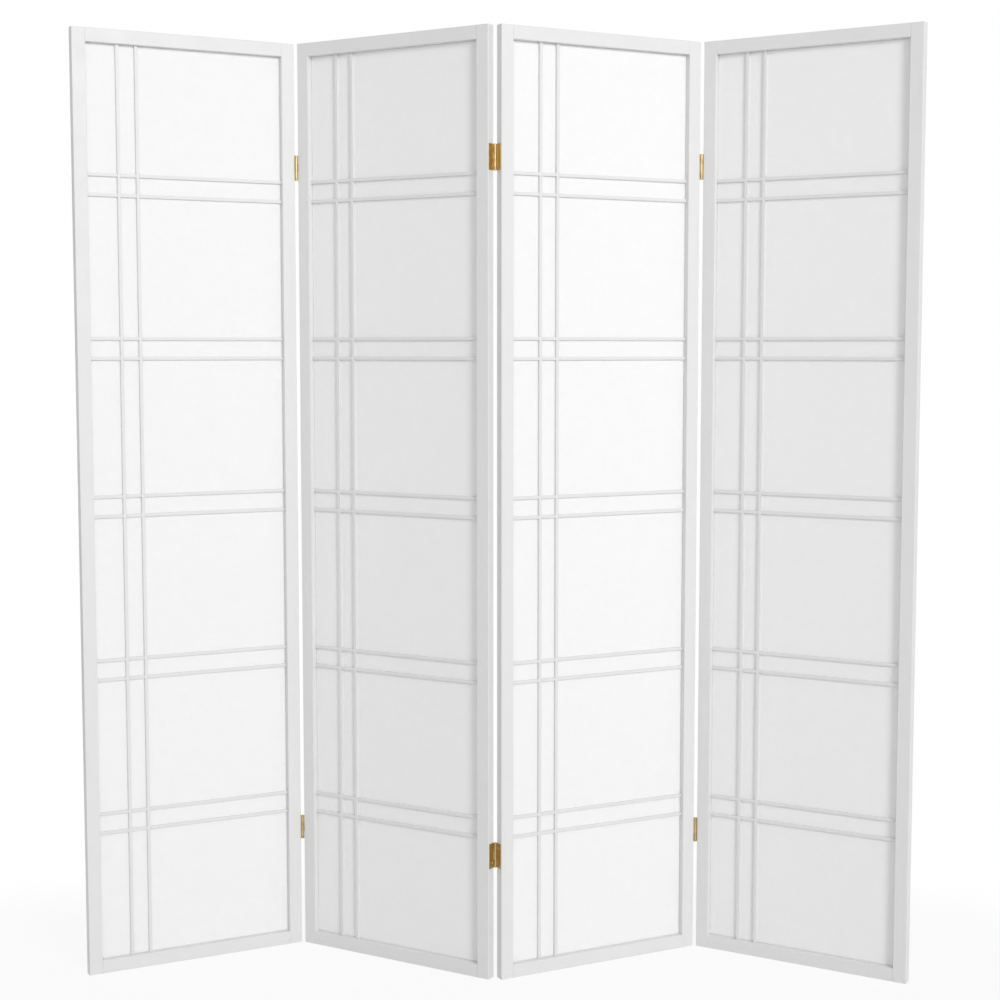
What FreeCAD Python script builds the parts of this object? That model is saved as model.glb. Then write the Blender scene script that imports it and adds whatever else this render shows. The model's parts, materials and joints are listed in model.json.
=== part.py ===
import FreeCAD, Part
import math
import os
import Sketcher

from FreeCAD import Placement, Rotation, Vector

# Folding screen of four framed panels standing in a zigzag on brass butt hinges.
# Millimetres, +Z up, front towards -Y, origin on the floor at the middle of the footprint.
# A panel's own frame has X along its width, Y through its thickness from the middle, Z up.

# Driving dimensions: name, value, meaning
SIZES = (
    ("panel_height", 1784.4, "height of a panel"),
    ("panel_width", 431.8, "width of a panel"),
    ("frame_thickness", 19.0, "thickness of the stiles and rails"),
    ("stile_width", 25.4, "width of a stile"),
    ("rail_height", 25.4, "height of a rail"),
    ("edge_chamfer", 0.7, "eased long edges of the frame"),
    ("tenon_length", 16.0, "how far a rail's tenon enters the stile"),
    ("tenon_thickness", 6.4, "thickness of a tenon"),
    ("tenon_shoulder", 6.0, "shoulder above and below a tenon"),
    ("joint_clearance", 0.1, "room round tenons and laps"),
    ("sheet_thickness", 0.3, "thickness of the translucent sheet"),
    ("sheet_setback", 12.5, "frame's front face to the middle of the sheet"),
    ("sheet_tuck", 3.5, "how far the sheet's edges enter the frame"),
    ("sheet_clearance", 0.3, "room round the sheet in its kerf"),
    ("bar_width", 6.0, "face width of a lattice bar"),
    ("bar_depth", 4.75, "depth of a lattice bar"),
    ("upright_place", 86.2, "panel's left end to the middle of the first upright"),
    ("upright_spacing", 36.0, "between the middles of the two uprights"),
    ("pair_spacing", 37.3, "between the middles of a pair of crossbars"),
    ("pair_1_rise", 290.0, "floor to the middle of the lowest pair of crossbars"),
    ("pair_2_rise", 586.0, "floor to the middle of the second pair"),
    ("pair_3_offset", 5.9, "middle pair above the panel's half height"),
    ("pair_4_drop", 588.6, "panel's top to the middle of the fourth pair"),
    ("pair_5_drop", 284.7, "panel's top to the middle of the highest pair"),
    ("fold_angle", 57.5, "turn between neighbouring panels as the screen stands, degrees"),
    ("hinge_height", 48.0, "height of a hinge"),
    ("hinge_inset", 238.0, "panel's end to the middle of a hinge"),
    ("barrel_radius", 2.75, "outside of a knuckle"),
    ("pin_radius", 1.5, "radius of a hinge pin"),
    ("pin_clearance", 0.05, "running fit between pin and knuckle"),
    ("pin_overhang", 0.4, "length of a pin's peened end past the knuckles"),
    ("pin_proud", 1.5, "pin's middle in front of the face it folds towards"),
    ("knuckle_gap", 0.3, "play between neighbouring knuckles"),
    ("knuckle_relief", 0.45, "room between a leaf's notch and the facing knuckle"),
    ("leaf_thickness", 1.25, "thickness of a hinge leaf"),
    ("leaf_setback", 1.7, "leaf's free edge short of the stile's far face"),
)

# Face that each hinge line folds towards, from left to right: -1 is the front, 1 the back
PIN_FACES = (-1, 1, -1)
KNUCKLES = 3
# Most that a parallel edge may lean, as a slope, and the least volume a pocket must remove
PARALLEL_SLACK = 0.01
LEAST_CUT = 0.01

# Expressions that several pieces share
STILE_END = "sizes.panel_width - sizes.stile_width"
RAIL_END = "sizes.panel_height - sizes.rail_height"
SHEET_MIDDLE = "(sizes.sheet_setback - sizes.frame_thickness / 2)"
KERF_DEPTH = "(sizes.sheet_tuck + sizes.sheet_clearance)"
KERF_FRONT = f"({SHEET_MIDDLE} - sizes.sheet_thickness / 2 - sizes.sheet_clearance)"
KERF_BACK = f"({SHEET_MIDDLE} + sizes.sheet_thickness / 2 + sizes.sheet_clearance)"
BAR_HALF = "(sizes.bar_width / 2 + sizes.joint_clearance)"
KNUCKLE_LENGTH = f"((sizes.hinge_height - {KNUCKLES - 1} * sizes.knuckle_gap) / {KNUCKLES})"
KNUCKLE_STEP = f"((sizes.hinge_height + sizes.knuckle_gap) / {KNUCKLES})"
LEAF_REACH = "(sizes.pin_proud + sizes.frame_thickness - sizes.leaf_setback)"

doc = FreeCAD.newDocument("folding_screen")
sheet = doc.addObject("Spreadsheet::Sheet", "sizes")
for row, (alias, value, meaning) in enumerate(SIZES, start=1):
    sheet.set(f"A{row}", meaning)
    sheet.set(f"B{row}", str(value))
    sheet.setAlias(f"B{row}", alias)
doc.recompute()

nodes = []


def size(alias):
    """Value of one cell of the sheet."""
    return float(sheet.get(alias))


def keep(piece, label, placement):
    """Name a finished sub-part, put it in its place and list it for export."""
    piece.Label = label
    piece.Placement = placement
    nodes.append(piece)


# Sketches and features


def sketch_on(body, role, offset="0"):
    """Sketch on one of the body's own origin planes, moved along that plane's normal."""
    sketch = body.newObject("Sketcher::SketchObject", "sketch")
    plane = next(item for item in body.Origin.OriginFeatures if item.Role == role)
    sketch.AttachmentSupport = [(plane, "")]
    sketch.MapMode = "FlatFace"
    sketch.setExpression("AttachmentOffset.Base.z", offset)
    return sketch


def bind(sketch, kind, first, second, expression):
    """Add a distance constraint that follows an expression."""
    number = sketch.addConstraint(Sketcher.Constraint(kind, *first, *second, 1.0))
    sketch.setExpression(f"Constraints[{number}]", expression)


def outline(sketch, corners):
    """Closed outline of straight lines, each corner placed from the sketch's origin."""
    count = len(corners)
    turn = 2 * math.pi / count
    guess = [Vector(math.cos(turn * i), math.sin(turn * i), 0) for i in range(count)]
    lines = [sketch.addGeometry(Part.LineSegment(guess[i], guess[(i + 1) % count])) for i in range(count)]
    for i in range(count):
        sketch.addConstraint(Sketcher.Constraint("Coincident", lines[i], 2, lines[(i + 1) % count], 1))
    for line, (across, along) in zip(lines, corners):
        bind(sketch, "DistanceX", (-1, 1), (line, 1), across)
        bind(sketch, "DistanceY", (-1, 1), (line, 1), along)


def rectangle(sketch, left, right, low, high):
    """Rectangle between two pairs of expressions."""
    outline(sketch, [(left, low), (right, low), (right, high), (left, high)])


def circle(sketch, across, along, radius):
    """Circle about a point given by expressions."""
    ring = sketch.addGeometry(Part.Circle(Vector(0, 0, 0), Vector(0, 0, 1), 1.0))
    bind(sketch, "DistanceX", (-1, 1), (ring, 3), across)
    bind(sketch, "DistanceY", (-1, 1), (ring, 3), along)
    number = sketch.addConstraint(Sketcher.Constraint("Radius", ring, 1.0))
    sketch.setExpression(f"Constraints[{number}]", radius)


def extrude(body, kind, sketch, length, flip=False):
    """Pad or Pocket of a sketch; a Pad follows the sketch's normal, a Pocket runs against it."""
    feature = body.newObject(f"PartDesign::{kind}", kind.lower())
    feature.Profile = sketch
    feature.setExpression("Length", length)
    feature.Reversed = flip
    return feature


def long_edges(shape, direction):
    """Names of the straight edges that run along a direction."""
    names = []
    for number, edge in enumerate(shape.Edges, start=1):
        run = edge.lastVertex().Point - edge.firstVertex().Point
        if run.Length > 0 and run.normalize().cross(direction).Length < PARALLEL_SLACK:
            names.append(f"Edge{number}")
    return names


def ease_edges(body, feature, direction):
    """Chamfer the long edges of a freshly padded frame member."""
    doc.recompute()
    chamfer = body.newObject("PartDesign::Chamfer", "chamfer")
    chamfer.Base = (feature, long_edges(feature.Shape, direction))
    chamfer.setExpression("Size", "sizes.edge_chamfer")


# Lattice places along a panel


def crossbar_heights():
    """Middle height of each crossbar, from the floor up."""
    pairs = (
        "sizes.pair_1_rise",
        "sizes.pair_2_rise",
        "sizes.panel_height / 2 + sizes.pair_3_offset",
        "sizes.panel_height - sizes.pair_4_drop",
        "sizes.panel_height - sizes.pair_5_drop",
    )
    return [f"({pair} {sign} sizes.pair_spacing / 2)" for pair in pairs for sign in "-+"]


def upright_places():
    """Middle of each upright, from the panel's left end."""
    return ["sizes.upright_place", "(sizes.upright_place + sizes.upright_spacing)"]


# Frame of a panel


def stile(label, placement, on_left):
    """Full-height stile with a mortise at each end and the sheet kerf along its inner edge."""
    outer = "0" if on_left else "sizes.panel_width"
    inner = "sizes.stile_width" if on_left else STILE_END
    body = doc.addObject("PartDesign::Body", label)
    section = sketch_on(body, "XY_Plane")
    rectangle(section, outer, inner, "-sizes.frame_thickness / 2", "sizes.frame_thickness / 2")
    post = extrude(body, "Pad", section, "sizes.panel_height")
    ease_edges(body, post, Vector(0, 0, 1))

    mortises = sketch_on(body, "YZ_Plane", inner)
    half = "(sizes.tenon_thickness / 2 + sizes.joint_clearance)"
    low = "(sizes.tenon_shoulder - sizes.joint_clearance)"
    high = "(sizes.rail_height - sizes.tenon_shoulder + sizes.joint_clearance)"
    rectangle(mortises, f"-{half}", half, low, high)
    rectangle(mortises, f"-{half}", half, f"sizes.panel_height - {high}", f"sizes.panel_height - {low}")
    extrude(body, "Pocket", mortises, "sizes.tenon_length + sizes.joint_clearance", flip=not on_left)

    kerf = sketch_on(body, "YZ_Plane", inner)
    foot = f"sizes.rail_height - {KERF_DEPTH}"
    rectangle(kerf, KERF_FRONT, KERF_BACK, foot, f"{RAIL_END} + {KERF_DEPTH}")
    extrude(body, "Pocket", kerf, KERF_DEPTH, flip=not on_left)
    keep(body, label, placement)


def rail(label, placement, on_top):
    """Rail with a tenon at each end and the sheet kerf along its inner edge."""
    foot = RAIL_END if on_top else "0"
    inner = RAIL_END if on_top else "sizes.rail_height"
    body = doc.addObject("PartDesign::Body", label)
    section = sketch_on(body, "YZ_Plane", "sizes.stile_width")
    half = "sizes.frame_thickness / 2"
    rectangle(section, f"-{half}", half, foot, f"{foot} + sizes.rail_height")
    span = extrude(body, "Pad", section, "sizes.panel_width - 2 * sizes.stile_width")
    ease_edges(body, span, Vector(1, 0, 0))

    tenons = sketch_on(body, "YZ_Plane", "sizes.stile_width - sizes.tenon_length")
    low = f"{foot} + sizes.tenon_shoulder"
    high = f"{foot} + sizes.rail_height - sizes.tenon_shoulder"
    rectangle(tenons, "-sizes.tenon_thickness / 2", "sizes.tenon_thickness / 2", low, high)
    extrude(body, "Pad", tenons, "sizes.panel_width - 2 * sizes.stile_width + 2 * sizes.tenon_length")

    kerf = sketch_on(body, "XY_Plane", inner)
    rectangle(kerf, "sizes.stile_width", STILE_END, KERF_FRONT, KERF_BACK)
    extrude(body, "Pocket", kerf, KERF_DEPTH, flip=on_top)
    keep(body, label, placement)


# Sheet and lattice


def block(low, high):
    """Box between two corners given by expressions."""
    box = doc.addObject("Part::Box", "block")
    for axis, side, start, end in zip("xyz", ("Length", "Width", "Height"), low, high):
        box.setExpression(f"Placement.Base.{axis}", start)
        box.setExpression(side, f"({end}) - ({start})")
    return box


def group(members):
    """Separate solids kept as one object."""
    bundle = doc.addObject("Part::Compound", "group")
    bundle.Links = members
    return bundle


def infill(label, placement):
    """Flat sheet whose edges lie in the kerf all round."""
    body = doc.addObject("PartDesign::Body", label)
    face = sketch_on(body, "XZ_Plane", f"-({SHEET_MIDDLE} + sizes.sheet_thickness / 2)")
    left = "sizes.stile_width - sizes.sheet_tuck"
    low = "sizes.rail_height - sizes.sheet_tuck"
    rectangle(face, left, f"{STILE_END} + sizes.sheet_tuck", low, f"{RAIL_END} + sizes.sheet_tuck")
    extrude(body, "Pad", face, "sizes.sheet_thickness")
    keep(body, label, placement)


def lattice(label, placement, on_front):
    """Uprights and crossbars on one side of the sheet, half-lapped flush where they cross."""
    away = "-" if on_front else "+"
    near = f"({SHEET_MIDDLE} {away} sizes.sheet_thickness / 2)"
    middle = f"({near} {away} sizes.bar_depth / 2)"
    far = f"({near} {away} sizes.bar_depth)"
    depths = {
        "bar": (far, near) if on_front else (near, far),
        "outer": (far, middle) if on_front else (middle, far),
        "inner": (middle, near) if on_front else (near, middle),
    }
    ends = ("sizes.stile_width", STILE_END)
    tips = ("sizes.rail_height", RAIL_END)

    def crossbar(height, half, part):
        start, end = depths[part]
        return block((ends[0], start, f"{height} - {half}"), (ends[1], end, f"{height} + {half}"))

    def upright(place, half, part):
        start, end = depths[part]
        return block((f"{place} - {half}", start, tips[0]), (f"{place} + {half}", end, tips[1]))

    bare = "sizes.bar_width / 2"
    crossbars = doc.addObject("Part::Cut", "crossbars")
    crossbars.Base = group([crossbar(height, bare, "bar") for height in crossbar_heights()])
    crossbars.Tool = group([upright(place, BAR_HALF, "outer") for place in upright_places()])
    keep(crossbars, f"{label}_crossbars", placement)

    uprights = doc.addObject("Part::Cut", "uprights")
    uprights.Base = group([upright(place, bare, "bar") for place in upright_places()])
    uprights.Tool = group([crossbar(height, BAR_HALF, "inner") for height in crossbar_heights()])
    keep(uprights, f"{label}_uprights", placement)


# Hinges


def knuckle_foot(index):
    """Lower end of a knuckle, counted from the hinge's foot."""
    return f"(-sizes.hinge_height / 2 + {index} * {KNUCKLE_STEP})"


def leaf(label, placement, side, own):
    """Leaf with its knuckles on the pin's axis; side is -1 or 1, own lists the knuckles it carries."""
    facing = [index for index in range(KNUCKLES) if index not in own]
    back = f"{side} * sizes.barrel_radius"
    face = f"{side} * (sizes.barrel_radius - sizes.leaf_thickness)"
    body = doc.addObject("PartDesign::Body", label)
    plate_sketch = sketch_on(body, "YZ_Plane", back)
    rectangle(plate_sketch, "0", LEAF_REACH, "-sizes.hinge_height / 2", "sizes.hinge_height / 2")
    extrude(body, "Pad", plate_sketch, "sizes.leaf_thickness", flip=side > 0)

    notches = sketch_on(body, "YZ_Plane", face)
    relief = "(sizes.barrel_radius + sizes.knuckle_relief)"
    for index in facing:
        low = f"{knuckle_foot(index)} - sizes.knuckle_gap"
        high = f"{knuckle_foot(index)} + {KNUCKLE_STEP}"
        rectangle(notches, "-sizes.knuckle_relief", relief, low, high)
    extrude(body, "Pocket", notches, "sizes.leaf_thickness", flip=side > 0)

    for index in own:
        ring = sketch_on(body, "XY_Plane", knuckle_foot(index))
        circle(ring, "0", "0", "sizes.barrel_radius")
        extrude(body, "Pad", ring, KNUCKLE_LENGTH)

    bore_sketch = sketch_on(body, "XY_Plane", "sizes.hinge_height / 2")
    circle(bore_sketch, "0", "0", "sizes.pin_radius + sizes.pin_clearance")
    extrude(body, "Pocket", bore_sketch, "sizes.hinge_height")
    keep(body, label, placement)


def pin(label, placement):
    """Hinge pin whose ends stand just past the knuckles."""
    body = doc.addObject("PartDesign::Body", label)
    section = sketch_on(body, "XY_Plane", "-sizes.hinge_height / 2 - sizes.pin_overhang")
    circle(section, "0", "0", "sizes.pin_radius")
    extrude(body, "Pad", section, "sizes.hinge_height + 2 * sizes.pin_overhang")
    keep(body, label, placement)


# How the panels stand


def panel_places():
    """Placement of each panel in the zigzag."""
    width = size("panel_width")
    half = size("frame_thickness") / 2
    beside = size("barrel_radius")
    proud = half + size("pin_proud")
    lean = size("fold_angle") / 2
    leans = [lean if index % 2 == 0 else -lean for index in range(len(PIN_FACES) + 1)]
    turns = [Rotation(Vector(0, 0, 1), angle) for angle in leans]
    origins = [Vector(0, 0, 0)]
    for index, face in enumerate(PIN_FACES):
        pin_place = origins[index] + turns[index].multVec(Vector(width + beside, face * proud, 0))
        origins.append(pin_place - turns[index + 1].multVec(Vector(-beside, face * proud, 0)))
    corners = []
    for origin, turn in zip(origins, turns):
        corners += [origin + turn.multVec(Vector(x, y, 0)) for x in (0, width) for y in (-half, half)]
    middle_x = (min(c.x for c in corners) + max(c.x for c in corners)) / 2
    middle_y = (min(c.y for c in corners) + max(c.y for c in corners)) / 2
    shift = Vector(-middle_x, -middle_y, 0)
    return [Placement(origin + shift, turn) for origin, turn in zip(origins, turns)]


def hinge_line(index, left_place, right_place, pin_face):
    """Upper and lower hinge between two panels; the pin lies on the face that folds inwards."""
    beside = size("barrel_radius")
    proud = pin_face * (size("frame_thickness") / 2 + size("pin_proud"))
    heights = {"lower": size("hinge_inset"), "upper": size("panel_height") - size("hinge_inset")}
    half_turn = Rotation(Vector(0, 0, 1), 0 if pin_face < 0 else 180)
    left_side = -1 if pin_face < 0 else 1
    for level, height in heights.items():
        on_left = left_place * Placement(Vector(size("panel_width") + beside, proud, height), half_turn)
        on_right = right_place * Placement(Vector(-beside, proud, height), half_turn)
        name = f"hinge_{index}{index + 1}_{level}"
        leaf(f"{name}_left_leaf", on_left, left_side, own=[0, 2])
        leaf(f"{name}_right_leaf", on_right, -left_side, own=[1])
        pin(f"{name}_pin", on_left)


places = panel_places()
for number, place in enumerate(places, start=1):
    name = f"panel_{number}"
    stile(f"{name}_left_stile", place, on_left=True)
    stile(f"{name}_right_stile", place, on_left=False)
    rail(f"{name}_top_rail", place, on_top=True)
    rail(f"{name}_bottom_rail", place, on_top=False)
    infill(f"{name}_sheet", place)
    lattice(f"{name}_front", place, on_front=True)
    lattice(f"{name}_back", place, on_front=False)
for number, pin_face in enumerate(PIN_FACES, start=1):
    hinge_line(number, places[number - 1], places[number], pin_face)
doc.recompute()

# Everything is checked before anything is written
for item in doc.Objects:
    if {"Invalid", "Error"} & set(item.State):
        raise RuntimeError(f"{item.Label} failed: {item.State}")
    if item.TypeId == "PartDesign::Pocket":
        if item.BaseFeature.Shape.Volume - item.Shape.Volume < LEAST_CUT:
            raise RuntimeError(f"{item.Label} in {item.getParent().Label} cuts nothing")
for piece in nodes:
    if piece.Shape.isNull() or not piece.Shape.isValid():
        raise RuntimeError(f"{piece.Label} has no valid shape")

os.makedirs("parts", exist_ok=True)
for piece in nodes:
    piece.Shape.exportStep(f"parts/{piece.Label}.step")
print(f"{len(nodes)} sub-parts written")
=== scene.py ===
"""White folding screen of four framed panels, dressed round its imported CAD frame.

Metres, +Z up, front towards -Y. A panel's own frame has u along its width from the left end,
v through its thickness from the middle (front negative) and z up from the floor.
"""

import json
import logging
import math
from dataclasses import dataclass
from enum import Enum
from typing import Any

import bmesh
import bpy
import numpy as np
from mathutils import Euler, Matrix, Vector


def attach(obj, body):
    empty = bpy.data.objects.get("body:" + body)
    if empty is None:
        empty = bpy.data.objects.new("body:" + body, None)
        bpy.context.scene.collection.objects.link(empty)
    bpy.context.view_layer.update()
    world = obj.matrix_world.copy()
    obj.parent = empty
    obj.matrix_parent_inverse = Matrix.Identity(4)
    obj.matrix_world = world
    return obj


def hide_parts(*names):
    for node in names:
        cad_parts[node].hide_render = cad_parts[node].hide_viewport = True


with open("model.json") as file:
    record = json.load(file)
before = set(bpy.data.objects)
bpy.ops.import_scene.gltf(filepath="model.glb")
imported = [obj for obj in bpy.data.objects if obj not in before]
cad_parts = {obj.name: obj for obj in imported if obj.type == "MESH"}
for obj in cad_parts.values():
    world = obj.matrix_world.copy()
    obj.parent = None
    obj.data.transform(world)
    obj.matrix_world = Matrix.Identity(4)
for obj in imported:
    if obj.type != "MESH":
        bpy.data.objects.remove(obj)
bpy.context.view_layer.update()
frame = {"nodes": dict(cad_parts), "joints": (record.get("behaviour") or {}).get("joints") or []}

log = logging.getLogger("folding_screen")

Colour = tuple[float, float, float, float]
Point = tuple[float, float, float]
Span = tuple[float, float]

WHITE: Colour = (1.0, 1.0, 1.0, 1.0)
# Half a width to each side of a middle.
BOTH_SIDES = np.array([-0.5, 0.5])
# Points that lie closer than this, in metres, are one point.
SAME_POINT = 1e-7
# Edges that turn by more than this are eased.
SHARP_EDGE = math.radians(40)


# Shader recipes


@dataclass(frozen=True)
class Wire:
    """An output socket on which plain arithmetic adds Math nodes."""

    recipe: "Recipe"
    socket: bpy.types.NodeSocket

    def _math(self, operation: str, first: Any, second: Any) -> "Wire":
        """Add one Math node that works on two values."""
        return self.recipe.node("ShaderNodeMath", {"operation": operation}, {0: first, 1: second})

    def __add__(self, other: Any) -> "Wire":
        """Sum of the wire and a value."""
        return self._math("ADD", self, other)

    def __radd__(self, other: Any) -> "Wire":
        """Sum of a value and the wire."""
        return self._math("ADD", other, self)

    def __sub__(self, other: Any) -> "Wire":
        """Difference of the wire and a value."""
        return self._math("SUBTRACT", self, other)

    def __rsub__(self, other: Any) -> "Wire":
        """Difference of a value and the wire."""
        return self._math("SUBTRACT", other, self)

    def __mul__(self, other: Any) -> "Wire":
        """Product of the wire and a value."""
        return self._math("MULTIPLY", self, other)

    def __rmul__(self, other: Any) -> "Wire":
        """Product of a value and the wire."""
        return self._math("MULTIPLY", other, self)

    def at_least(self, other: Any) -> "Wire":
        """Larger of the wire and a value."""
        return self._math("MAXIMUM", self, other)


class Recipe:
    """A node tree that is being written, of a material or of the world."""

    # The Mix node has several sockets of one name, so those for colours go by number.
    MIX_FIRST = 6
    MIX_SECOND = 7
    MIX_RESULT = 2

    def __init__(self, tree: bpy.types.NodeTree) -> None:
        """Start from an empty tree."""
        self.tree = tree
        tree.nodes.clear()

    def node(
        self,
        kind: str,
        settings: dict[str, Any] | None = None,
        inputs: dict[int | str, Any] | None = None,
        output: int | str = 0,
    ) -> Wire | None:
        """Add a node, set it up and feed its sockets.

        Args:
            kind: Type name of the node.
            settings: Properties of the node, set before its sockets are touched.
            inputs: Values or wires by socket name or number.
            output: Socket that the returned wire leaves from.

        Returns:
            The wire, or None for a node that ends the tree.
        """
        made = self.tree.nodes.new(kind)
        for name, value in (settings or {}).items():
            setattr(made, name, value)
        for key, value in (inputs or {}).items():
            if isinstance(value, Wire):
                self.tree.links.new(value.socket, made.inputs[key])
            else:
                made.inputs[key].default_value = value
        return Wire(self, made.outputs[output]) if len(made.outputs) else None

    def coordinates(self, kind: str) -> Wire:
        """Texture coordinates of a kind, such as Object or UV, in metres here."""
        return self.node("ShaderNodeTexCoord", output=kind)

    def laid(self, place: Wire, cell: Point, turn: float = 0.0) -> Wire:
        """Coordinates of a pattern laid over a surface.

        Args:
            place: Coordinates in metres.
            cell: Size of one unit of the pattern along its own axes, in metres.
            turn: Turn of the pattern about the third axis, in radians.

        Returns:
            Coordinates counted in units of the pattern.
        """
        inputs = {"Vector": place, "Rotation": (0.0, 0.0, turn), "Scale": cell}
        return self.node("ShaderNodeMapping", {"vector_type": "TEXTURE"}, inputs)

    def noise(self, place: Wire, detail: float, distortion: float = 0.0, output: int = 0) -> Wire:
        """Soft noise, about 0.5 on average, one swell to a unit of the pattern."""
        inputs = {"Vector": place, "Scale": 1.0, "Detail": detail, "Distortion": distortion}
        return self.node("ShaderNodeTexNoise", {"noise_dimensions": "3D"}, inputs, output)

    def fade(self, value: Wire, span: Span, ends: Span = (0.0, 1.0)) -> Wire:
        """Smooth step from the first end, where the value's span starts, to the second."""
        inputs = dict(enumerate((value, *span, *ends)))
        return self.node("ShaderNodeMapRange", {"interpolation_type": "SMOOTHSTEP"}, inputs)

    def tint(self, share: Wire, first: Any, second: Any) -> Wire:
        """Mix of two colours by a share of the second."""
        inputs = {0: share, self.MIX_FIRST: first, self.MIX_SECOND: second}
        return self.node("ShaderNodeMix", {"data_type": "RGBA"}, inputs, self.MIX_RESULT)

    def relief(self, height: Wire, depth: float) -> Wire:
        """Normal of a surface whose height, 0 to 1, stands for a depth in metres."""
        return self.node("ShaderNodeBump", inputs={"Strength": 1.0, "Distance": depth, "Height": height})

    def surface(self, inputs: dict[str, Any]) -> Wire:
        """Principled surface with the given sockets."""
        return self.node("ShaderNodeBsdfPrincipled", inputs=inputs)

    def mixed(self, share: Wire, first: Wire, second: Wire) -> Wire:
        """Mix of two surfaces by a share of the second."""
        return self.node("ShaderNodeMixShader", inputs={0: share, 1: first, 2: second})

    def close(self, surface: Wire, kind: str = "ShaderNodeOutputMaterial") -> None:
        """End the tree with its output node."""
        self.node(kind, inputs={"Surface": surface})


def new_material(name: str) -> tuple[bpy.types.Material, Recipe]:
    """Make an empty material.

    Args:
        name: Name of the material.

    Returns:
        The material and the recipe that writes it.
    """
    material = bpy.data.materials.new(name)
    material.use_nodes = True
    return material, Recipe(material.node_tree)


# Finishes


class Stick(Enum):
    """Kind of painted wood."""

    FRAME = "frame"
    LATTICE = "lattice"


class Grain(Enum):
    """Way that the grain of a stick of wood runs."""

    UPRIGHT = "upright"
    LEVEL = "level"


Paints = dict[tuple[Stick, Grain, float], bpy.types.Material]


@dataclass(frozen=True)
class SatinPaint:
    """White satin paint brushed over planed softwood, whose grain still shows as faint lines."""

    name: str
    grain: Grain
    lean: float
    colour: Colour = (0.757, 0.757, 0.757, 1.0)
    thin_colour: Colour = (0.72, 0.72, 0.718, 1.0)
    line_pitch: float = 0.0017
    line_length: float = 0.16
    line_wander: float = 0.4
    ridges: Span = (0.42, 0.72)
    brush_pitch: float = 0.0007
    brush_length: float = 0.045
    swell: float = 0.06
    swells: Span = (0.35, 0.75)
    thin_on_ridges: float = 0.35
    thin_on_swells: float = 0.3
    coarse_share: float = 0.6
    gloss: Span = (0.3, 0.7)
    roughness: Span = (0.36, 0.50)
    relief_depth: float = 0.00005
    specular: float = 0.4

    def cell(self, pitch: float, length: float) -> Point:
        """Cell of a pattern that is long along the grain and narrow across it."""
        return (pitch, pitch, length) if self.grain is Grain.UPRIGHT else (length, pitch, pitch)

    def material(self) -> bpy.types.Material:
        """Write the paint.

        Grain lines and brush marks are noise stretched along the grain. Both raise the surface, the
        paint is thinner and a little warmer on the grain's ridges, and slow noise varies the gloss.

        Returns:
            The finished material.
        """
        material, recipe = new_material(self.name)
        place = recipe.coordinates("Object")
        wood = recipe.laid(place, self.cell(self.line_pitch, self.line_length), self.lean)
        lines = recipe.noise(wood, detail=3.0, distortion=self.line_wander)
        stroke = recipe.laid(place, self.cell(self.brush_pitch, self.brush_length), self.lean)
        brush = recipe.noise(stroke, detail=1.0)
        swell = recipe.noise(recipe.laid(place, (self.swell,) * 3), detail=2.0)
        ridges = recipe.fade(lines, self.ridges)
        thin = ridges * self.thin_on_ridges + recipe.fade(swell, self.swells) * self.thin_on_swells
        fine = brush * (1 - self.coarse_share)
        inputs = {
            "Base Color": recipe.tint(thin, self.colour, self.thin_colour),
            "Roughness": recipe.fade(swell * self.coarse_share + fine, self.gloss, self.roughness),
            "Normal": recipe.relief(ridges * self.coarse_share + fine, self.relief_depth),
            "Specular IOR Level": self.specular,
        }
        recipe.close(recipe.surface(inputs))
        return material


def mix_paints(leans: set[float]) -> Paints:
    """Mix the paints, whose grain follows the sticks: upright ones alike, level ones with a panel's lean.

    Args:
        leans: Turns of the panels about the upright axis, in radians.

    Returns:
        Material by kind of wood, way of the grain and lean of the panel.
    """
    paints = {}
    for stick in Stick:
        upright = SatinPaint(f"{stick.value}_paint_upright", Grain.UPRIGHT, lean=0.0).material()
        for index, lean in enumerate(sorted(leans)):
            level = SatinPaint(f"{stick.value}_paint_level_{index}", Grain.LEVEL, lean).material()
            paints[stick, Grain.UPRIGHT, lean] = upright
            paints[stick, Grain.LEVEL, lean] = level
    return paints


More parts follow.
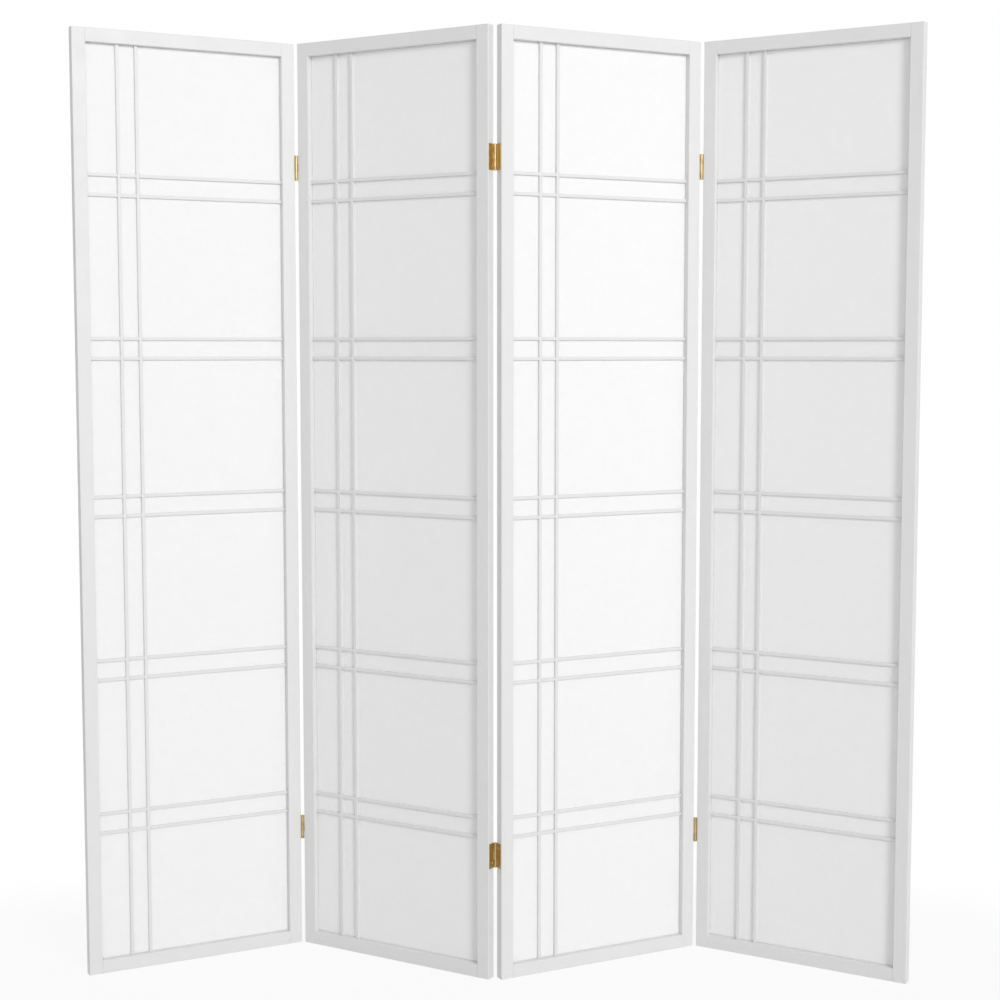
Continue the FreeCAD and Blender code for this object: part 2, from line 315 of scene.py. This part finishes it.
@dataclass(frozen=True)
class FibreSheet:
    """Thin white non-woven sheet: clouded pulp with loose fibres, which lets some light through."""

    name: str
    colour: Colour = (0.955, 0.955, 0.955, 1.0)
    cloud_colour: Colour = (0.925, 0.925, 0.923, 1.0)
    fibre_colour: Colour = (0.975, 0.975, 0.973, 1.0)
    cloud: float = 0.035
    clouds: Span = (0.3, 0.7)
    cloud_share: float = 0.6
    felt_pitch: float = 0.0012
    bend_pitch: float = 0.025
    bend: float = 0.007
    fibre_pitch: float = 0.0034
    fibre_lengths: tuple[float, ...] = (0.045, 0.11, 0.07, 0.16)
    fibre_turns: tuple[float, ...] = (0.35, 1.25, 2.05, 2.75)
    fibre_edge: Span = (0.13, 0.05)
    fibre_tint: float = 0.8
    fibre_relief: float = 0.6
    relief_depth: float = 0.00004
    roughness: float = 0.75
    specular: float = 0.2
    light_through: float = 0.09
    cloud_light: float = 0.04
    fibre_shade: float = 0.08

    def fibres(self, recipe: Recipe, place: Wire) -> Wire:
        """Mask of the loose fibres.

        Each layer is a pattern of long narrow cells, turned its own way and bent by slow noise; the
        middle of a cell is a fibre.

        Args:
            recipe: Tree to write in.
            place: Coordinates on the sheet in metres.

        Returns:
            1 on a fibre, 0 between fibres.
        """
        slow = recipe.noise(recipe.laid(place, (self.bend_pitch,) * 3), detail=1.0, output=1)
        bend = (self.bend,) * 3
        shift = recipe.node("ShaderNodeVectorMath", {"operation": "MULTIPLY"}, {0: slow, 1: bend})
        bent = recipe.node("ShaderNodeVectorMath", {"operation": "ADD"}, {0: place, 1: shift})
        settings = {"voronoi_dimensions": "2D", "feature": "F1"}
        mask = None
        for length, turn in zip(self.fibre_lengths, self.fibre_turns):
            inputs = {"Vector": recipe.laid(bent, (length, self.fibre_pitch, 1.0), turn), "Scale": 1.0}
            apart = recipe.node("ShaderNodeTexVoronoi", settings, inputs, "Distance")
            layer = recipe.fade(apart, self.fibre_edge)
            mask = layer if mask is None else mask.at_least(layer)
        return mask

    def material(self) -> bpy.types.Material:
        """Write the sheet, whose clouds and fibres tint it, raise it and vary the light it lets through.

        Returns:
            The finished material.
        """
        material, recipe = new_material(self.name)
        place = recipe.coordinates("UV")
        clouds = recipe.fade(recipe.noise(recipe.laid(place, (self.cloud,) * 3), detail=4.0), self.clouds)
        felt = recipe.noise(recipe.laid(place, (self.felt_pitch,) * 3), detail=3.0)
        fibres = self.fibres(recipe, place)
        dense = clouds * self.cloud_share + felt * (1 - self.cloud_share)
        pulp = recipe.tint(dense, self.cloud_colour, self.colour)
        height = fibres * self.fibre_relief + felt * (1 - self.fibre_relief)
        normal = recipe.relief(height, self.relief_depth)
        inputs = {
            "Base Color": recipe.tint(fibres * self.fibre_tint, pulp, self.fibre_colour),
            "Roughness": self.roughness,
            "Specular IOR Level": self.specular,
            "Normal": normal,
        }
        face = recipe.surface(inputs)
        through = recipe.node("ShaderNodeBsdfTranslucent", inputs={"Color": self.colour, "Normal": normal})
        share = self.light_through + self.cloud_light * clouds - self.fibre_shade * fibres
        recipe.close(recipe.mixed(share, face, through))
        return material


@dataclass(frozen=True)
class HingeBrass:
    """Rolled brass with a drawn grain, dulled in soft patches."""

    name: str
    colour: Colour = (0.58, 0.44, 0.215, 1.0)
    dull_colour: Colour = (0.38, 0.275, 0.125, 1.0)
    scratch_pitch: float = 0.0003
    scratch_length: float = 0.006
    patch: float = 0.009
    patches: Span = (0.45, 0.75)
    dulling: float = 0.7
    patch_share: float = 0.6
    wear: Span = (0.1, 0.8)
    roughness: Span = (0.30, 0.48)
    relief_depth: float = 0.000005

    def material(self) -> bpy.types.Material:
        """Write the brass: stretched noise is its drawn grain, slow noise its dull patches.

        Returns:
            The finished material.
        """
        material, recipe = new_material(self.name)
        place = recipe.coordinates("Object")
        cell = (self.scratch_pitch, self.scratch_pitch, self.scratch_length)
        scratches = recipe.noise(recipe.laid(place, cell), detail=2.0)
        slow = recipe.noise(recipe.laid(place, (self.patch,) * 3), detail=4.0)
        patches = recipe.fade(slow, self.patches)
        worn = patches * self.patch_share + scratches * (1 - self.patch_share)
        inputs = {
            "Base Color": recipe.tint(patches * self.dulling, self.colour, self.dull_colour),
            "Metallic": 1.0,
            "Roughness": recipe.fade(worn, self.wear, self.roughness),
            "Normal": recipe.relief(scratches, self.relief_depth),
        }
        recipe.close(recipe.surface(inputs))
        return material


# The screws are the same brass with darker patches.
SCREW_SHADE: Colour = (0.25, 0.13, 0.04, 1.0)


@dataclass(frozen=True)
class StudioFloor:
    """White floor that shows the screen's shadow only close to its feet."""

    name: str
    colour: Colour = (0.8, 0.8, 0.8, 1.0)
    near_white: float = 0.88
    reach: tuple[float, float] = (1.05, 0.45)
    fading: Span = (0.9, 1.6)

    def material(self) -> bpy.types.Material:
        """Write the floor: plain white to the eye, more so with distance, and matt to every other ray.

        Returns:
            The finished material.
        """
        material, recipe = new_material(self.name)
        place = recipe.laid(recipe.coordinates("Object"), (*self.reach, 1.0))
        apart = recipe.node("ShaderNodeVectorMath", {"operation": "LENGTH"}, {0: place}, "Value")
        white = recipe.fade(apart, self.fading, (self.near_white, 1.0))
        matt = recipe.node("ShaderNodeBsdfDiffuse", inputs={"Color": self.colour})
        glow = recipe.node("ShaderNodeEmission", inputs={"Color": WHITE, "Strength": 1.0})
        recipe.close(recipe.mixed(seen_directly(recipe) * white, matt, glow))
        return material


def seen_directly(recipe: Recipe) -> Wire:
    """Tell the rays of the eye, also by way of metal or glass, from the rays that carry light.

    Light that the sheets scatter on its way through is a transmission ray and a diffuse ray at once,
    and counts as light.

    Args:
        recipe: Tree to write in.

    Returns:
        1 for rays of the eye, 0 for rays that carry light.
    """
    kinds = ("Camera", "Glossy", "Transmission", "Diffuse")
    rays = [recipe.node("ShaderNodeLightPath", output=f"Is {kind} Ray") for kind in kinds]
    camera, glossy, through, scattered = rays
    return camera.at_least(glossy).at_least(through * (1 - scattered))


# Meshes


def grid_faces(rows: int, columns: int) -> np.ndarray:
    """Quads between the points of a grid that is stored row by row."""
    corner = np.arange((rows - 1) * columns).reshape(rows - 1, columns)[:, :-1]
    return np.stack([corner, corner + 1, corner + columns + 1, corner + columns], axis=-1).reshape(-1, 4)


def new_piece(
    name: str,
    points: np.ndarray,
    faces: list[list[int]],
    material: bpy.types.Material,
    smooth: bool,
) -> bpy.types.Object:
    """Put points and faces into a mesh at the origin.

    Args:
        name: Name of the piece.
        points: Points in the part's frame, three to a row.
        faces: Point numbers of each face.
        material: Finish of the whole piece.
        smooth: Whether its faces are shaded as one curved surface.

    Returns:
        The object, linked to the scene.
    """
    mesh = bpy.data.meshes.new(name)
    mesh.from_pydata(points.reshape(-1, 3).tolist(), [], faces)
    mesh.polygons.foreach_set("use_smooth", np.full(len(mesh.polygons), smooth))
    mesh.materials.append(material)
    piece = bpy.data.objects.new(name, mesh)
    bpy.context.scene.collection.objects.link(piece)
    return piece


def close_up(piece: bpy.types.Object) -> None:
    """Merge points that lie together and turn every face outwards.

    Args:
        piece: Piece whose mesh is closed.
    """
    shell = bmesh.new()
    shell.from_mesh(piece.data)
    bmesh.ops.remove_doubles(shell, verts=shell.verts, dist=SAME_POINT)
    bmesh.ops.recalc_face_normals(shell, faces=shell.faces)
    shell.to_mesh(piece.data)
    shell.free()


def ease(piece: bpy.types.Object, width: float, segments: int) -> None:
    """Round the sharp edges of a piece.

    Args:
        piece: Piece with sharp edges.
        width: Width of the rounding, in metres.
        segments: Strips across the rounding.
    """
    bevel = piece.modifiers.new("eased edges", "BEVEL")
    bevel.width = width
    bevel.segments = segments
    bevel.limit_method = "ANGLE"
    bevel.angle_limit = SHARP_EDGE


# Panels


class Face(Enum):
    """Face of a panel, by its side of the frame's middle."""

    FRONT = -1
    BACK = 1


# Sticks of a panel's frame and the way that their grain runs.
FRAME_GRAINS = {
    "left_stile": Grain.UPRIGHT,
    "right_stile": Grain.UPRIGHT,
    "top_rail": Grain.LEVEL,
    "bottom_rail": Grain.LEVEL,
}


@dataclass(frozen=True)
class PanelSizes:
    """Sizes that the four panels share, in metres."""

    width: float = 0.4318
    height: float = 1.7844
    thickness: float = 0.019
    stile: float = 0.0254
    rail: float = 0.0254
    sheet_thickness: float = 0.0003
    sheet_setback: float = 0.0125
    sheet_tuck: float = 0.0035
    bar_width: float = 0.006
    bar_depth: float = 0.00475
    lap_clearance: float = 0.0001
    upright_place: float = 0.0862
    upright_spacing: float = 0.036
    pair_spacing: float = 0.0373
    pair_rises: tuple[float, ...] = (0.290, 0.586)
    middle_offset: float = 0.0059
    pair_drops: tuple[float, ...] = (0.5886, 0.2847)
    pin_beside: float = 0.00275
    pin_proud: float = 0.0015

    @property
    def sheet_middle(self) -> float:
        """Depth of the sheet's middle, from the middle of the frame."""
        return self.sheet_setback - self.thickness / 2

    def uprights(self) -> np.ndarray:
        """Middle of each upright, from the panel's left end."""
        return self.upright_place + np.array([0.0, self.upright_spacing])

    def crossbars(self) -> np.ndarray:
        """Work out the crossbars from the middle of each pair, half a spacing down and up.

        Returns:
            Middle height of each crossbar, from the floor up.
        """
        middle = self.height / 2 + self.middle_offset
        pairs = [*self.pair_rises, middle, *(self.height - drop for drop in self.pair_drops)]
        return (np.array(pairs)[:, None] + BOTH_SIDES * self.pair_spacing).ravel()


@dataclass(frozen=True)
class PanelPlace:
    """Where one panel stands in the zigzag."""

    number: int
    origin: np.ndarray
    lean: float

    @property
    def body(self) -> str:
        """Name of the CAD body that the panel is."""
        return f"panel_{self.number}"

    def node(self, piece: str) -> str:
        """Name of one of the panel's nodes or pieces."""
        return f"{self.body}_{piece}"

    def turned(self, local: np.ndarray) -> np.ndarray:
        """Turn directions about the upright axis by the panel's lean.

        Args:
            local: Directions of the panel's own frame, u, v and z last.

        Returns:
            The same directions in the part's frame.
        """
        cos, sin = math.cos(self.lean), math.sin(self.lean)
        u, v, z = np.moveaxis(local, -1, 0)
        return np.stack([u * cos - v * sin, u * sin + v * cos, z], axis=-1)

    def placed(self, local: np.ndarray) -> np.ndarray:
        """Points of the panel's own frame, in the part's frame."""
        return self.turned(local) + np.append(self.origin, 0.0)


def panel_places(sizes: PanelSizes) -> list[PanelPlace]:
    """Work out where the panels stand from the hinge lines of the frame.

    A hinge's lower limit is the flat line, so half of it is each panel's lean, to alternate sides. The
    outer hinge lines lie in front of the panels they join, and both give the panel on each side.

    Args:
        sizes: Sizes of a panel.

    Returns:
        The four places from left to right.
    """
    axes = {joint["name"]: joint for joint in frame["joints"]}
    ends = ((1, "fold_1_2", True), (2, "fold_1_2", False), (3, "fold_3_4", True), (4, "fold_3_4", False))
    places = []
    for number, joint, at_right_end in ends:
        half_fold = math.radians(-axes[joint]["range_deg"][0]) / 2
        lean = half_fold if at_right_end else -half_fold
        along = sizes.width + sizes.pin_beside if at_right_end else -sizes.pin_beside
        loose = PanelPlace(number, np.zeros(2), lean)
        pin = np.array([along, -sizes.thickness / 2 - sizes.pin_proud, 0.0])
        origin = np.array(axes[joint]["pos_m"][:2]) - loose.turned(pin)[:2]
        places.append(PanelPlace(number, origin, lean))
    return places


@dataclass
class Panel:
    """One framed panel: painted stiles and rails, a lattice on both faces and the sheet between."""

    place: PanelPlace
    sizes: PanelSizes
    paints: Paints
    sheet_finish: bpy.types.Material
    bar_ease: float = 0.00035
    bar_ease_segments: int = 2
    sheet_columns: int = 78
    sheet_rows: int = 262
    pattern_step: float = 0.7
    cockle: float = 0.00022
    cockle_hold: float = 0.022
    cockle_phase: float = 1.7
    cockle_waves: tuple[tuple[float, float, int], ...] = ((23.0, 9.0, 1), (31.0, -14.0, 2), (11.0, 26.0, 3))

    def paint(self, stick: Stick, grain: Grain) -> bpy.types.Material:
        """Paint of the panel's sticks of one kind."""
        return self.paints[stick, grain, self.place.lean]

    def paint_frame(self) -> list[bpy.types.Object]:
        """Give the stiles and rails of the CAD frame their paint.

        Returns:
            The painted nodes.
        """
        nodes = [frame["nodes"][self.place.node(piece)] for piece in FRAME_GRAINS]
        for node, grain in zip(nodes, FRAME_GRAINS.values()):
            node.material_slots[0].material = self.paint(Stick.FRAME, grain)
        return nodes

    def notched(self, ends: Span, near: float, far: float, floor: float, places: np.ndarray) -> np.ndarray:
        """Outline of a bar seen from its side.

        Formula: along the near face, then back along the far face, which steps down to the notch's
        floor at each place and up again.

        Args:
            ends: Where the bar starts and ends along its length.
            near: Depth of the whole face.
            far: Depth of the notched face.
            floor: Depth of the notches' floor.
            places: Middles of the notches along the bar, rising.

        Returns:
            Corners of the outline, length and depth to a row.
        """
        start, end = ends
        half = self.sizes.bar_width / 2 + self.sizes.lap_clearance
        back = places[::-1]
        along = np.stack([back + half, back + half, back - half, back - half], axis=1).ravel()
        depth = np.tile([far, floor, floor, far], len(back))
        whole = [(start, near), (end, near), (end, far)]
        return np.concatenate([whole, np.stack([along, depth], axis=1), [(start, far)]])

    def bars(self, name: str, outline: np.ndarray, middles: np.ndarray, grain: Grain) -> bpy.types.Object:
        """Carry one outline across the width of each bar.

        Formula: the outline stands on both sides of every middle, half a bar's width away; strips join
        the two, and the outline itself closes both sides.

        Args:
            name: Name of the piece on its panel.
            outline: Corners of a bar seen from its side.
            middles: Middle of each bar across its width.
            grain: Way that the bars run.

        Returns:
            The bars as one piece with eased edges.
        """
        u, v, z = range(3)
        length, width = (u, z) if grain is Grain.LEVEL else (z, u)
        count = len(outline)
        sides = middles[:, None] + BOTH_SIDES * self.sizes.bar_width
        local = np.zeros((len(middles), 2, count, 3))
        local[..., length] = outline[:, 0]
        local[..., v] = outline[:, 1]
        local[..., width] = sides[:, :, None]
        ring = np.arange(count)
        following = (ring + 1) % count
        strip = np.stack([ring, following, following + count, ring + count], axis=1)
        starts = np.arange(len(middles)) * 2 * count
        faces = (starts[:, None, None] + strip).reshape(-1, 4).tolist()
        faces += (starts[:, None] + ring[::-1]).tolist() + (starts[:, None] + ring + count).tolist()
        paint = self.paint(Stick.LATTICE, grain)
        piece = new_piece(self.place.node(name), self.place.placed(local), faces, paint, smooth=False)
        close_up(piece)
        ease(piece, self.bar_ease, self.bar_ease_segments)
        return piece

    def build_lattice(self) -> list[bpy.types.Object]:
        """Build the bars of both faces, half-lapped flush, in place of the square CAD bars.

        Returns:
            The level and the upright bars of each face.
        """
        s = self.sizes
        pieces = []
        for face in Face:
            name = face.name.lower()
            near = s.sheet_middle + face.value * s.sheet_thickness / 2
            far = near + face.value * s.bar_depth
            middle = (near + far) / 2
            level = self.notched((s.stile, s.width - s.stile), near, far, middle, s.uprights())
            upright = self.notched((s.rail, s.height - s.rail), far, near, middle, s.crossbars())
            made = {
                "crossbars": self.bars(f"{name}_level_bars", level, s.crossbars(), Grain.LEVEL),
                "uprights": self.bars(f"{name}_upright_bars", upright, s.uprights(), Grain.UPRIGHT),
            }
            for kind, piece in made.items():
                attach(piece, self.place.body)
                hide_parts(self.place.node(f"{name}_{kind}"))
            pieces += made.values()
        return pieces

    def held(self, along: np.ndarray, supports: np.ndarray) -> np.ndarray:
        """0 where a bar or the frame grips the sheet, rising to 1 in the open between supports."""
        apart = np.abs(along[:, None] - supports).min(axis=1)
        return 1 - np.exp(-((apart / self.cockle_hold) ** 2))

    def sheet_shape(self) -> tuple[np.ndarray, np.ndarray]:
        """Points of the sheet and their place on it.

        Formula: a flat grid at the sheet's depth that swells by the mean of three slow waves, damped to
        nothing wherever the frame or a bar grips it. A wave has its radians to a metre across and up,
        and its own multiple of the panel's phase.

        Returns:
            Points in the panel's frame on a grid of rows and columns, and u and z of each.
        """
        s = self.sizes
        u = np.linspace(s.stile - s.sheet_tuck, s.width - s.stile + s.sheet_tuck, self.sheet_columns)
        z = np.linspace(s.rail - s.sheet_tuck, s.height - s.rail + s.sheet_tuck, self.sheet_rows)
        grip_u = self.held(u, np.concatenate([[u[0], s.stile], s.uprights(), [s.width - s.stile, u[-1]]]))
        grip_z = self.held(z, np.concatenate([[z[0], s.rail], s.crossbars(), [s.height - s.rail, z[-1]]]))
        across, up = np.meshgrid(u, z)
        phase = self.cockle_phase * self.place.number
        waves = [np.sin(a * across + b * up + times * phase) for a, b, times in self.cockle_waves]
        swell = sum(waves) / len(waves)
        depth = s.sheet_middle + self.cockle * swell * grip_z[:, None] * grip_u
        return np.stack([across, depth, up], axis=-1), np.stack([across, up], axis=-1)

    def build_sheet(self) -> bpy.types.Object:
        """Build the thin sheet that the kerf and the bars hold, in place of the CAD solid.

        Returns:
            The sheet, with a pattern of its own on each panel.
        """
        local, spread = self.sheet_shape()
        points = self.place.placed(local)
        faces = grid_faces(self.sheet_rows, self.sheet_columns)
        name = self.place.node("fibre_sheet")
        piece = new_piece(name, points, faces.tolist(), self.sheet_finish, smooth=True)
        layer = piece.data.uv_layers.new(name="sheet")
        own = spread.reshape(-1, 2) + np.array([self.pattern_step * self.place.number, 0.0])
        layer.data.foreach_set("uv", own[faces.ravel()].astype(np.float32).ravel())
        wall = piece.modifiers.new("thickness", "SOLIDIFY")
        wall.thickness = self.sizes.sheet_thickness
        wall.offset = 0.0
        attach(piece, self.place.body)
        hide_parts(self.place.node("sheet"))
        held_by = [self.place.node(part) for part in FRAME_GRAINS]
        return piece

    def build(self) -> list[bpy.types.Object]:
        """Paint the frame, then build the lattice and the sheet."""
        return [*self.paint_frame(), *self.build_lattice(), self.build_sheet()]


# Hinges


# Face that the pins of each hinge line stand out from, left to right.
PIN_FACES = (Face.FRONT, Face.BACK, Face.FRONT)


@dataclass
class HingeLine:
    """The upper and lower butt hinge between two neighbouring panels."""

    left: PanelPlace
    right: PanelPlace
    pin_face: Face
    sizes: PanelSizes
    brass: bpy.types.Material
    screw_brass: bpy.types.Material
    inset: float = 0.238
    height: float = 0.048
    leaf_thickness: float = 0.00125
    pin_overhang: float = 0.0004
    peen_radius: float = 0.0019
    peen_height: float = 0.0006
    peen_sunk: float = 0.35
    peen_rows: int = 7
    peen_columns: int = 25
    screw_radius: float = 0.0031
    screw_crown: float = 0.00055
    screw_sunk: float = 0.00008
    screw_rise: float = 0.0135
    screw_reach: float = 0.0109
    screw_stagger: float = 0.0016
    side_chords: int = 7
    first_chord: float = 0.25
    chord_points: int = 17
    slot_width: float = 0.0009
    slot_depth: float = 0.00042
    slot_floor: float = 0.0001
    slot_slope: float = 0.02
    slot_turn: float = 0.6
    slot_turn_by_screw: float = 2.4
    slot_turn_by_panel: float = 1.1

    @property
    def name(self) -> str:
        """Name of the hinge line, after the panels it joins."""
        return f"hinge_{self.left.number}{self.right.number}"

    @property
    def pin_depth(self) -> float:
        """Depth of the pin's axis, from the middle of the frame."""
        return self.pin_face.value * (self.sizes.thickness / 2 + self.sizes.pin_proud)

    def middles(self) -> dict[str, float]:
        """Middle height of each hinge."""
        return {"lower": self.inset, "upper": self.sizes.height - self.inset}

    def halves(self) -> list[tuple[float, float]]:
        """Middle height of each hinge with -1 for its lower half, then 1 for its upper half."""
        return [(middle, way) for middle in self.middles().values() for way in (-1.0, 1.0)]

    def dress(self) -> list[bpy.types.Object]:
        """Give the leaves and pins of the CAD frame their brass.

        Returns:
            The dressed nodes.
        """
        pieces = ("left_leaf", "right_leaf", "pin")
        names = [f"{self.name}_{level}_{piece}" for level in self.middles() for piece in pieces]
        nodes = [frame["nodes"][name] for name in names]
        for node in nodes:
            node.material_slots[0].material = self.brass
        return nodes

    def screw_shape(self) -> tuple[np.ndarray, np.ndarray]:
        """Crowned slotted screw head about its own axis.

        Formula: chords of a disc run along the slot. A point's height is a shallow crown that falls to
        just under the leaf at the rim, less the slot's depth on the chords inside the slot, and a flat
        underside closes it.

        Returns:
            Points of the upper and lower surface, and the quads of both.
        """
        wall = self.slot_width / 2
        lip = wall + self.slot_slope * self.slot_width
        outer = np.sin(np.linspace(self.first_chord, 1.0, self.side_chords) * math.pi / 2)
        side = np.concatenate([[lip], self.screw_radius * outer])
        chords = np.concatenate([-side[::-1], [-wall, 0.0, wall], side])
        shares = np.sin(np.linspace(-1.0, 1.0, self.chord_points) * math.pi / 2)
        x = np.repeat(chords[:, None], len(shares), axis=1)
        y = shares * np.sqrt(np.maximum(self.screw_radius**2 - x**2, 0.0))
        rim = (x**2 + y**2) / self.screw_radius**2
        top = (self.screw_crown + self.screw_sunk) * (1 - rim) - self.screw_sunk
        cut = np.where(np.abs(x) <= wall, self.slot_depth, 0.0)
        upper = np.stack([x, y, np.maximum(top - cut, np.minimum(top, self.slot_floor))], axis=-1)
        lower = np.stack([x, y, np.full_like(x, -self.screw_sunk)], axis=-1)
        quads = grid_faces(*x.shape)
        return np.stack([upper, lower]), np.concatenate([quads, quads[:, ::-1] + x.size])

    def add_screws(self, place: PanelPlace, at_right_end: bool) -> bpy.types.Object:
        """Set two screw heads on each leaf of one panel.

        Formula: a head's axis points out of the leaf, and its slot is turned on by a step from screw to
        screw and from panel to panel.

        Args:
            place: Panel that the leaves are screwed to.
            at_right_end: Whether they lie on its right edge.

        Returns:
            The four screws as one piece.
        """
        shape, head_quads = self.screw_shape()
        x, y, height = np.moveaxis(shape.reshape(-1, 3), -1, 0)
        outward = 1.0 if at_right_end else -1.0
        leaf = (self.sizes.width if at_right_end else 0.0) + outward * self.leaf_thickness
        points, faces = [], []
        for index, (level, way) in enumerate(self.halves()):
            turn = self.slot_turn + self.slot_turn_by_screw * index + self.slot_turn_by_panel * place.number
            cos, sin = math.cos(turn), math.sin(turn)
            depth = self.pin_depth - self.pin_face.value * (self.screw_reach + way * self.screw_stagger)
            u = leaf + outward * height
            v = depth + x * cos - y * sin
            z = level + way * self.screw_rise + x * sin + y * cos
            points.append(place.placed(np.stack([u, v, z], axis=-1)))
            faces.append(head_quads + index * len(x))
        name = place.node("right_hinge_screws" if at_right_end else "left_hinge_screws")
        quads = np.concatenate(faces).tolist()
        piece = new_piece(name, np.concatenate(points), quads, self.screw_brass, smooth=True)
        close_up(piece)
        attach(piece, place.body)
        return piece

    def add_pin_ends(self) -> bpy.types.Object:
        """Set the peened ends on the pins.

        Formula: a quarter ellipse turned about the pin's axis, closed underneath by its own foot circle.

        Returns:
            The four ends as one piece.
        """
        quarter = np.linspace(0.0, math.pi / 2, self.peen_rows)
        circle = np.linspace(0.0, 2 * math.pi, self.peen_columns)
        rise, turn = np.meshgrid(quarter, circle, indexing="ij")
        across = self.peen_radius * np.cos(rise)
        axis = np.array([self.sizes.width + self.sizes.pin_beside, self.pin_depth])
        foot = self.height / 2 + self.pin_overhang
        points, faces = [], []
        for index, (level, way) in enumerate(self.halves()):
            up = level + way * (foot - self.peen_height * self.peen_sunk + self.peen_height * np.sin(rise))
            dome = np.stack([axis[0] + across * np.cos(turn), axis[1] + across * np.sin(turn), up], axis=-1)
            base = dome[:1].copy()
            base[..., :2] = axis
            points.append(self.left.placed(np.concatenate([base, dome])).reshape(-1, 3))
            faces.append(grid_faces(len(dome) + 1, dome.shape[1]) + index * len(points[0]))
        quads = np.concatenate(faces).tolist()
        piece = new_piece(f"{self.name}_pin_ends", np.concatenate(points), quads, self.brass, smooth=True)
        close_up(piece)
        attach(piece, self.left.body)
        return piece

    def build(self) -> list[bpy.types.Object]:
        """Dress the CAD hinges and add their small fasteners.

        Returns:
            The leaves, pins, screws and pin ends.
        """
        left_screws = self.add_screws(self.left, at_right_end=True)
        right_screws = self.add_screws(self.right, at_right_end=False)
        return [*self.dress(), left_screws, right_screws, self.add_pin_ends()]


# Studio


@dataclass(frozen=True)
class Lamp:
    """A square soft lamp aimed at the middle of the screen."""

    name: str
    place: Point
    width: float
    power: float
    aim: Point = (0.0, 0.0, 0.9)

    def build(self) -> None:
        """Hang the lamp."""
        light = bpy.data.lights.new(self.name, "AREA")
        light.shape = "SQUARE"
        light.size = self.width
        light.energy = self.power
        lamp = bpy.data.objects.new(self.name, light)
        lamp.location = self.place
        lamp.rotation_euler = (Vector(self.aim) - Vector(self.place)).to_track_quat("-Z", "Y").to_euler()
        bpy.context.scene.collection.objects.link(lamp)


@dataclass
class Studio:
    """Floor, light and camera of the photograph."""

    floor_finish: bpy.types.Material
    floor_half: float = 9.0
    floor_lines: int = 9
    ambient: float = 0.545
    camera_place: Point = (0.10658, -3.41149, 1.1962)
    camera_level: float = 90.0
    camera_pitch: float = 4.859
    camera_yaw: float = 1.6865
    focal_share: float = 1.7834
    sensor: float = 36.0
    lamps: tuple[Lamp, ...] = (
        Lamp("key", (6.06, -9.51, 5.0), 3.4, 622.0),
        Lamp("front", (-0.4, -6.0, 2.6), 2.4, 23.0),
        Lamp("back", (-1.6, 6.0, 2.6), 2.4, 100.0),
    )

    def build_floor(self) -> None:
        """Lay the floor, a flat square grid."""
        line = np.linspace(-self.floor_half, self.floor_half, self.floor_lines)
        x, y = np.meshgrid(line, line)
        points = np.stack([x, y, np.zeros_like(x)], axis=-1)
        faces = grid_faces(*x.shape).tolist()
        floor = new_piece("studio_floor", points, faces, self.floor_finish, smooth=False)

    def build_world(self) -> None:
        """Light from all round: white to the eye, softer to the surfaces."""
        world = bpy.data.worlds.new("studio")
        world.use_nodes = True
        bpy.context.scene.world = world
        recipe = Recipe(world.node_tree)
        strength = self.ambient + (1 - self.ambient) * seen_directly(recipe)
        sky = recipe.node("ShaderNodeBackground", inputs={"Color": WHITE, "Strength": strength})
        recipe.close(sky, "ShaderNodeOutputWorld")

    def build_camera(self) -> None:
        """Stand the camera where the photograph was taken from."""
        data = bpy.data.cameras.new("camera")
        data.sensor_width = self.sensor
        data.lens = self.focal_share * self.sensor
        camera = bpy.data.objects.new("camera", data)
        camera.location = self.camera_place
        tilt = math.radians(self.camera_level - self.camera_pitch)
        camera.rotation_euler = Euler((tilt, 0.0, math.radians(self.camera_yaw)))
        bpy.context.scene.collection.objects.link(camera)
        bpy.context.scene.camera = camera

    def build(self) -> None:
        """Set up everything round the screen."""
        self.build_floor()
        self.build_world()
        self.build_camera()
        for lamp in self.lamps:
            lamp.build()
        bpy.context.scene.view_settings.view_transform = "Standard"


def main() -> None:
    """Build the screen piece by piece, then the studio."""
    logging.basicConfig(level=logging.INFO, format="%(message)s")
    sizes = PanelSizes()
    places = panel_places(sizes)
    paints = mix_paints({place.lean for place in places})
    sheet_finish = FibreSheet("fibre_sheet").material()
    for place in places:
        for piece in Panel(place, sizes, paints, sheet_finish).build():
            log.info("%s: %s", place.body, piece.name)
    brass = HingeBrass("hinge_brass").material()
    screw_brass = HingeBrass("screw_brass", dull_colour=SCREW_SHADE).material()
    for left, right, pin_face in zip(places, places[1:], PIN_FACES):
        line = HingeLine(left, right, pin_face, sizes, brass, screw_brass)
        for piece in line.build():
            log.info("%s: %s", line.name, piece.name)
    Studio(StudioFloor("studio_floor").material()).build()


if __name__ == "__main__":
    main()
